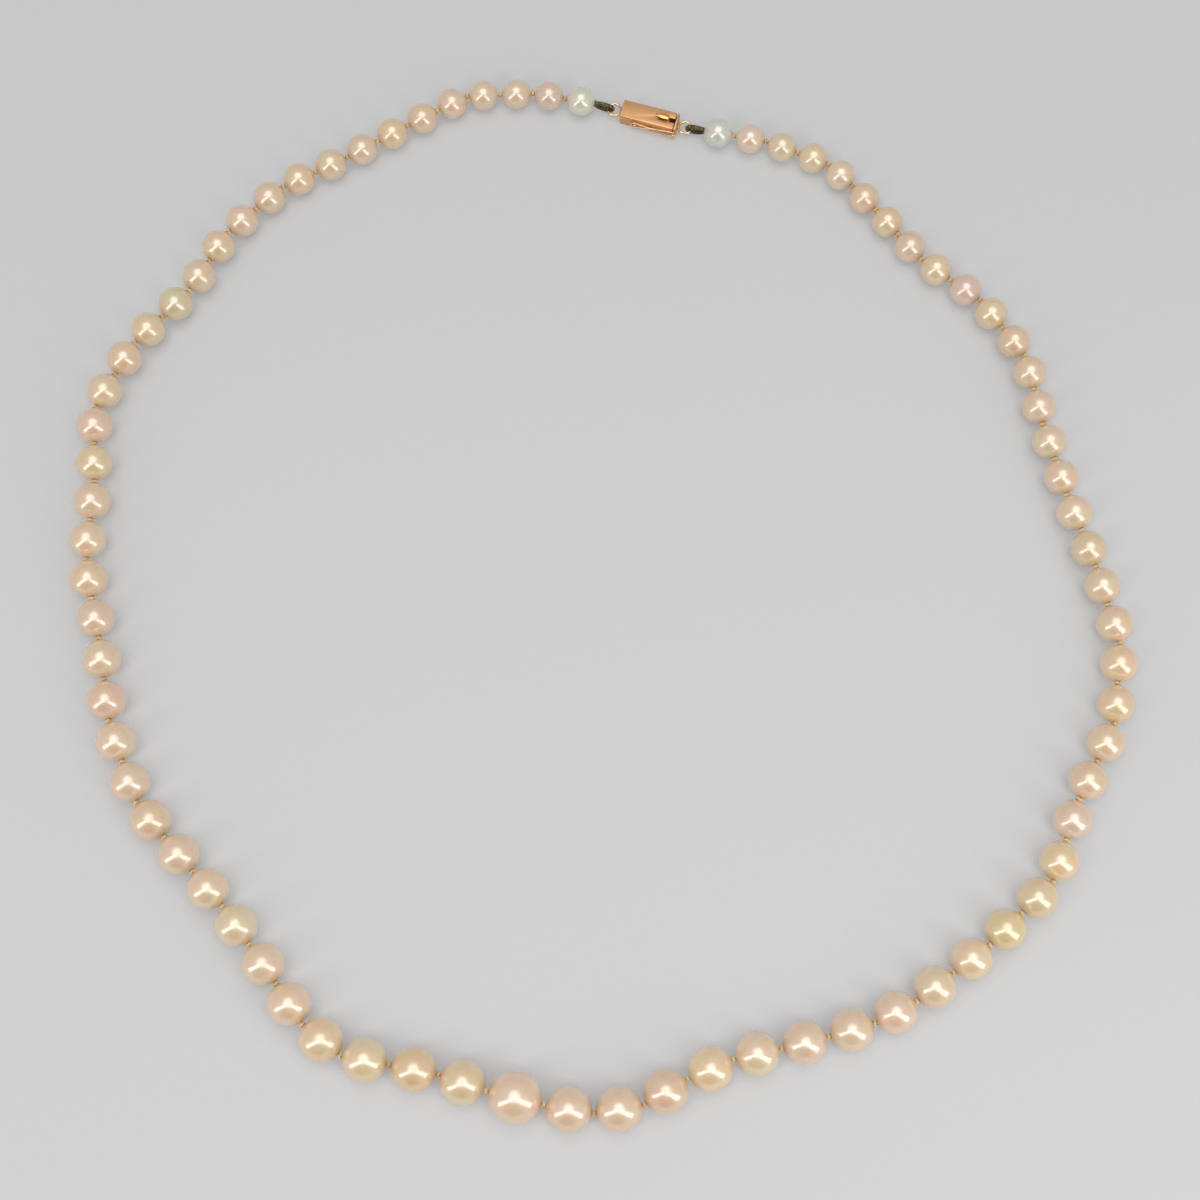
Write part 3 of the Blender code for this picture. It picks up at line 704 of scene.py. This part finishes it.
def end_ring(name, node, body, way):
    """A ring of round wire, its joint closed with solder against the wall of the clasp."""
    low, high = local_box(node)
    middle = (low + high) / 2
    outer = (high.x - low.x) / 2
    deselect()
    bpy.ops.mesh.primitive_torus_add(major_segments=44, minor_segments=12, location=middle,
                                     major_radius=outer - RING_WIRE, minor_radius=RING_WIRE)
    ring = start(name)
    pick(ring, lambda v: abs(v.co.x) > outer * 0.80)
    bpy.ops.transform.resize(value=(1, 1.04, 0.96))
    wall = middle.x - way * (outer - SOLDER_DEPTH)
    deselect()
    bpy.ops.mesh.primitive_uv_sphere_add(segments=20, ring_count=12, radius=1,
                                         location=(wall, middle.y, middle.z), scale=SOLDER)
    solder = start("solder")
    pick(solder, lambda v: (v.co.x * way) > 0.05)
    bpy.ops.transform.resize(value=(1, 1.15, 0.85))
    join(ring, solder)
    settle(ring, clasp_place, body, [node], wire_gold, smooth=60)


end_ring("box_end_ring", "box_ring", "clasp_box", -1)

low, high = local_box("catch_stud")
middle = (low + high) / 2
ball = (high.x - low.x) / 2
deselect()
bpy.ops.mesh.primitive_uv_sphere_add(segments=24, ring_count=16, radius=ball, rotation=(math.pi / 2, 0, 0),
                                     location=(middle.x, low.y + ball, middle.z))
stud = start("ball_stud")
apply_all(stud)
pick(stud, lambda v: v.co.y > low.y + ball * STUD_NECK)
bpy.ops.mesh.extrude_region_move(TRANSFORM_OT_translate={"value": (0, high.y - low.y - STUD_NECK * ball, 0)})
bpy.ops.transform.resize(value=(STUD_FLARE, 1, STUD_FLARE))
settle(stud, clasp_place, "clasp_box", ["catch_stud"], wire_gold, smooth=50)

# ---------------------------------------------------------------------------------------------
# Tongue. A strip of springy gold folded back on itself: the lower leaf carries the end plate that
# closes the box, its ring and the tube of the safety catch; the upper leaf springs against the
# lid, and the thumb piece stands on it.
# ---------------------------------------------------------------------------------------------
PLATE_THICKNESS = 0.35
LOWER_LEAF_BOTTOM = 0.37
LOWER_LEAF_THICKNESS = 0.22
LEAF_HALF_WIDTH = 1.03
SPRING_THICKNESS = 0.20
FOLD_STEPS = 8
FOLD_START, FOLD_SWEEP = 250, 160        # degrees
DROP_THICKNESS = 0.40
STEM_START, STEM_END, STEM_HALF = 0.95, 1.35, 0.2
TUBE_BORE = 0.19           # radius

low, high = local_box("tongue")
leaf = block("folded_tongue", Vector((low.x, -LEAF_HALF_WIDTH, LOWER_LEAF_BOTTOM)),
             Vector((high.x - 0.05, LEAF_HALF_WIDTH, LOWER_LEAF_BOTTOM + LOWER_LEAF_THICKNESS)))
plate = block("plate", Vector((high.x - PLATE_THICKNESS, low.y, low.z)), high)
join_cut = leaf.modifiers.new("plate", "BOOLEAN")
join_cut.object = plate
join_cut.operation = "UNION"
apply_all(leaf)
bpy.data.objects.remove(plate)
finish_edges(leaf, 0.06)
rub(leaf)
settle(leaf, clasp_place, "tongue", ["tongue"], satin_gold)
end_ring("tongue_end_ring", "tongue_ring", "tongue", 1)

low, high = local_box("spring_leaf")
fold_radius = (low.z - LOWER_LEAF_BOTTOM - LOWER_LEAF_THICKNESS + SPRING_THICKNESS) / 2
fold_level = low.z + SPRING_THICKNESS / 2 - fold_radius
profile = []
for step in range(FOLD_STEPS + 1):
    a = math.radians(FOLD_START - FOLD_SWEEP * step / FOLD_STEPS)
    profile.append((low.x + fold_radius * math.cos(a), fold_level + fold_radius * math.sin(a)))
top = high.z - SPRING_THICKNESS / 2
for share in (0.2, 0.4, 0.6, 0.8, 1.0):
    climb = (top - profile[FOLD_STEPS][1]) * (share + 0.12 * math.sin(math.pi * share))
    profile.append((low.x + (high.x - low.x) * share, profile[FOLD_STEPS][1] + climb))
deselect()
bpy.ops.mesh.primitive_plane_add(size=1)
spring = start("sprung_leaf")
pick(spring, lambda v: v.co.x < 0)
bpy.ops.mesh.delete(type="VERT")
bpy.ops.object.mode_set(mode="OBJECT")
for vertex, y in zip(spring.data.vertices, (-LEAF_HALF_WIDTH, LEAF_HALF_WIDTH)):
    vertex.co = (profile[0][0], y, profile[0][1])
pick(spring, lambda v: True)
for (x0, z0), (x1, z1) in zip(profile, profile[1:]):
    bpy.ops.mesh.extrude_region_move(TRANSFORM_OT_translate={"value": (x1 - x0, 0, z1 - z0)})
bpy.ops.object.mode_set(mode="OBJECT")
gauge = spring.modifiers.new("gauge", "SOLIDIFY")
gauge.thickness = SPRING_THICKNESS
gauge.offset = 0
finish_edges(spring, 0.04)
rub(spring)
settle(spring, clasp_place, "spring_leaf", ["spring_leaf"], satin_gold)

low, high = local_box("thumb_piece")
drop_length, drop_width = high.x - low.x, high.y - low.y
drop_level = high.z - DROP_THICKNESS / 2
deselect()
bpy.ops.mesh.primitive_uv_sphere_add(segments=32, ring_count=16, radius=0.5,
                                     location=((low.x + high.x) / 2, 0, drop_level),
                                     scale=(drop_length, drop_width, DROP_THICKNESS))
thumb = start("thumb_drop")
apply_all(thumb)
for vertex in thumb.data.vertices:
    share = (vertex.co.x - low.x) / drop_length
    vertex.co.y *= 0.42 + 0.86 * share
    vertex.co.z = drop_level + (vertex.co.z - drop_level) * (0.75 + 0.3 * share)
stem = block("stem", Vector((low.x + STEM_START, -STEM_HALF, low.z)),
             Vector((low.x + STEM_END, STEM_HALF, drop_level)))
finish_edges(stem, 0.04)
join(thumb, stem)
settle(thumb, clasp_place, "spring_leaf", ["thumb_piece"], thumb_gold, smooth=50)

low, high = local_box("catch_tube")
middle = (low + high) / 2
outer = (high.x - low.x) / 2
deselect()
bpy.ops.mesh.primitive_cylinder_add(vertices=28, radius=outer, depth=high.z - low.z, location=middle)
tube = start("hinge_tube")
apply_all(tube)
pick(tube, lambda f: abs(f.normal.z) > 0.9, "FACE")
bpy.ops.mesh.inset(thickness=outer - TUBE_BORE)
bpy.ops.mesh.delete(type="FACE")
pick(tube, lambda v: math.hypot(v.co.x - middle.x, v.co.y - middle.y) < TUBE_BORE + 0.03)
bpy.ops.mesh.bridge_edge_loops()
bpy.ops.object.mode_set(mode="OBJECT")
finish_edges(tube, 0.05, angle=50)
settle(tube, clasp_place, "tongue", ["catch_tube"], wire_gold, smooth=50)

# ---------------------------------------------------------------------------------------------
# Safety catch. A figure of eight of gold wire: a bar that turns in the tube, two sides drawn
# together at the waist, and an eye that snaps over the ball stud.
# ---------------------------------------------------------------------------------------------
CATCH_WIRE = 0.13          # radius
EYE_START, EYE_SWEEP = 62, 236           # degrees
EYE_STEPS = 8

low, high = local_box("safety_catch")
plane = (low.y + high.y) / 2
level = (low.z + high.z) / 2
half_height = (high.z - low.z) / 2 - CATCH_WIRE
left, right = low.x + CATCH_WIRE, high.x - CATCH_WIRE
length = right - left
eye_x = left + half_height
upper = [(right, 0.6), (right - 0.06, 0.88), (right - 0.30, 1.0), (right - 0.27 * length, 0.74),
         (right - 0.48 * length, 0.36), (right - 0.62 * length, 0.30)]
outline = [(x, plane, level + half_height * z) for x, z in upper]
for step in range(EYE_STEPS + 1):
    a = math.radians(EYE_START + EYE_SWEEP * step / EYE_STEPS)
    outline.append((eye_x + half_height * math.cos(a), plane, level + half_height * math.sin(a)))
outline += [(x, plane, level - half_height * z) for x, z in reversed(upper)]
catch = wire("figure_of_eight", outline, CATCH_WIRE, sides=3, smooth=True)
settle(catch, clasp_place, "safety_catch", ["safety_catch"], wire_gold, smooth=60)

# ---------------------------------------------------------------------------------------------
# Table, light and camera. Pale matt paper in a light tent: a soft glow overhead, a tall strip
# lamp on each side in front, and a dark gap between them where the tent is open.
# ---------------------------------------------------------------------------------------------
PAPER = (0.62, 0.62, 0.625)
PAPER_TONE = (0.61, 0.61, 0.615)
PAPER_GLOW = 0.35          # share of the paper's own pale tone, which keeps it even
TENT = 0.42
GLOW = 2.2
OPENING_DEPTH = 0.97       # how much of the tent's light is missing in the opening
BACKDROP = 0.61            # what the camera sees beyond the paper
AIM = Vector((0.00028, -0.00416, 0.0))
CAMERA_DISTANCE = 0.308
CAMERA_ELEVATION = math.radians(72)
LENS = 66.0

deselect()
bpy.ops.mesh.primitive_plane_add(size=3, location=(0, 0, -0.00003))
table = start("table")
paper, shader, nodes, links_of = new_material("paper", roughness=0.75)
tree = paper.node_tree
grain = texture(tree, 900, 4.0)
grain_part = stretch(tree, 0.3, 0.7)
links_of.new(grain.outputs["Fac"], grain_part.inputs["Value"])
factor, under, over, mixed = blend_colour(tree)
links_of.new(grain_part.outputs["Result"], factor)
under.default_value = (*PAPER, 1)
over.default_value = (*(c * 0.985 for c in PAPER), 1)
links_of.new(mixed, shader.inputs["Base Color"])
own_tone = nodes.new("ShaderNodeEmission")
own_tone.inputs["Color"].default_value = (*PAPER_TONE, 1)
path = nodes.new("ShaderNodeLightPath")
seen = None
for ray in ("Is Camera Ray", "Is Glossy Ray", "Is Transmission Ray"):
    share = nodes.new("ShaderNodeMath")
    share.operation = "MULTIPLY_ADD"
    share.inputs[1].default_value = PAPER_GLOW
    share.inputs[2].default_value = 0.0
    links_of.new(path.outputs[ray], share.inputs[0])
    if seen:
        links_of.new(seen, share.inputs[2])
    seen = share.outputs[0]
blend = nodes.new("ShaderNodeMixShader")
links_of.new(seen, blend.inputs[0])
links_of.new(shader.outputs[0], blend.inputs[1])
links_of.new(own_tone.outputs[0], blend.inputs[2])
links_of.new(blend.outputs[0], nodes["Material Output"].inputs["Surface"])
table.data.materials.append(paper)

world = bpy.data.worlds.new("tent")
bpy.context.scene.world = world
world.use_nodes = True
tree = world.node_tree
direction_node = tree.nodes.new("ShaderNodeTexCoord")
background = tree.nodes["Background"]


def facing(towards, start_angle, end_angle):
    """1 where the sky lies within end_angle of a direction, falling to 0 at start_angle."""
    dot = tree.nodes.new("ShaderNodeVectorMath")
    dot.operation = "DOT_PRODUCT"
    dot.inputs[1].default_value = Vector(towards).normalized()
    tree.links.new(direction_node.outputs["Generated"], dot.inputs[0])
    ramp = stretch(tree, math.cos(math.radians(start_angle)), math.cos(math.radians(end_angle)))
    ramp.interpolation_type = "SMOOTHSTEP"
    tree.links.new(dot.outputs["Value"], ramp.inputs["Value"])
    return ramp.outputs["Result"]


def calculate(operation, first, second):
    """One sum in the world's nodes."""
    node = tree.nodes.new("ShaderNodeMath")
    node.operation = operation
    for socket, value in zip(node.inputs, (first, second)):
        if isinstance(value, (int, float)):
            socket.default_value = value
        else:
            tree.links.new(value, socket)
    return node.outputs[0]


glow = calculate("MULTIPLY", facing((0, -0.02, 1), 33, 7), GLOW)
opening = calculate("MULTIPLY", facing((-0.10, -0.90, 0.50), 44, 14), TENT * OPENING_DEPTH)
tent_light = calculate("ADD", calculate("SUBTRACT", TENT, opening), glow)
path = tree.nodes.new("ShaderNodeLightPath")
seen = calculate("MULTIPLY", path.outputs["Is Camera Ray"], BACKDROP)
unseen = calculate("MULTIPLY", calculate("SUBTRACT", 1.0, path.outputs["Is Camera Ray"]), tent_light)
tree.links.new(calculate("ADD", seen, unseen), background.inputs["Strength"])
background.inputs["Color"].default_value = (1, 1, 1, 1)


def strip_lamp(name, top, bottom, width, power):
    """A strip between two points, turned to face the necklace."""
    data = bpy.data.lights.new(name, "AREA")
    data.shape = "RECTANGLE"
    data.energy = power
    data.size = width
    data.size_y = (top - bottom).length
    lamp = bpy.data.objects.new(name, data)
    bpy.context.collection.objects.link(lamp)
    middle = (top + bottom) / 2
    up = (top - bottom).normalized()
    back = (middle - AIM) - up * (middle - AIM).dot(up)
    back.normalize()
    turn = Matrix((up.cross(back), up, back)).transposed()
    lamp.matrix_world = Matrix.Translation(middle) @ turn.to_4x4()
    lamp.visible_camera = False


strip_lamp("left_strip", Vector((-0.120, -0.206, 0.560)), Vector((-0.447, -0.261, 0.046)), 0.100, 0.62)
strip_lamp("right_strip", Vector((0.070, -0.163, 0.350)), Vector((0.273, -0.207, 0.030)), 0.100, 0.34)

camera_data = bpy.data.cameras.new("camera")
camera_data.lens = LENS
camera_data.sensor_width = 36
camera = bpy.data.objects.new("camera", camera_data)
bpy.context.collection.objects.link(camera)
back = Vector((0, -math.cos(CAMERA_ELEVATION), math.sin(CAMERA_ELEVATION)))
camera.location = AIM + back * CAMERA_DISTANCE
camera.rotation_euler = (math.pi / 2 - CAMERA_ELEVATION, 0, 0)
bpy.context.scene.camera = camera
bpy.context.scene.view_settings.view_transform = "Standard"
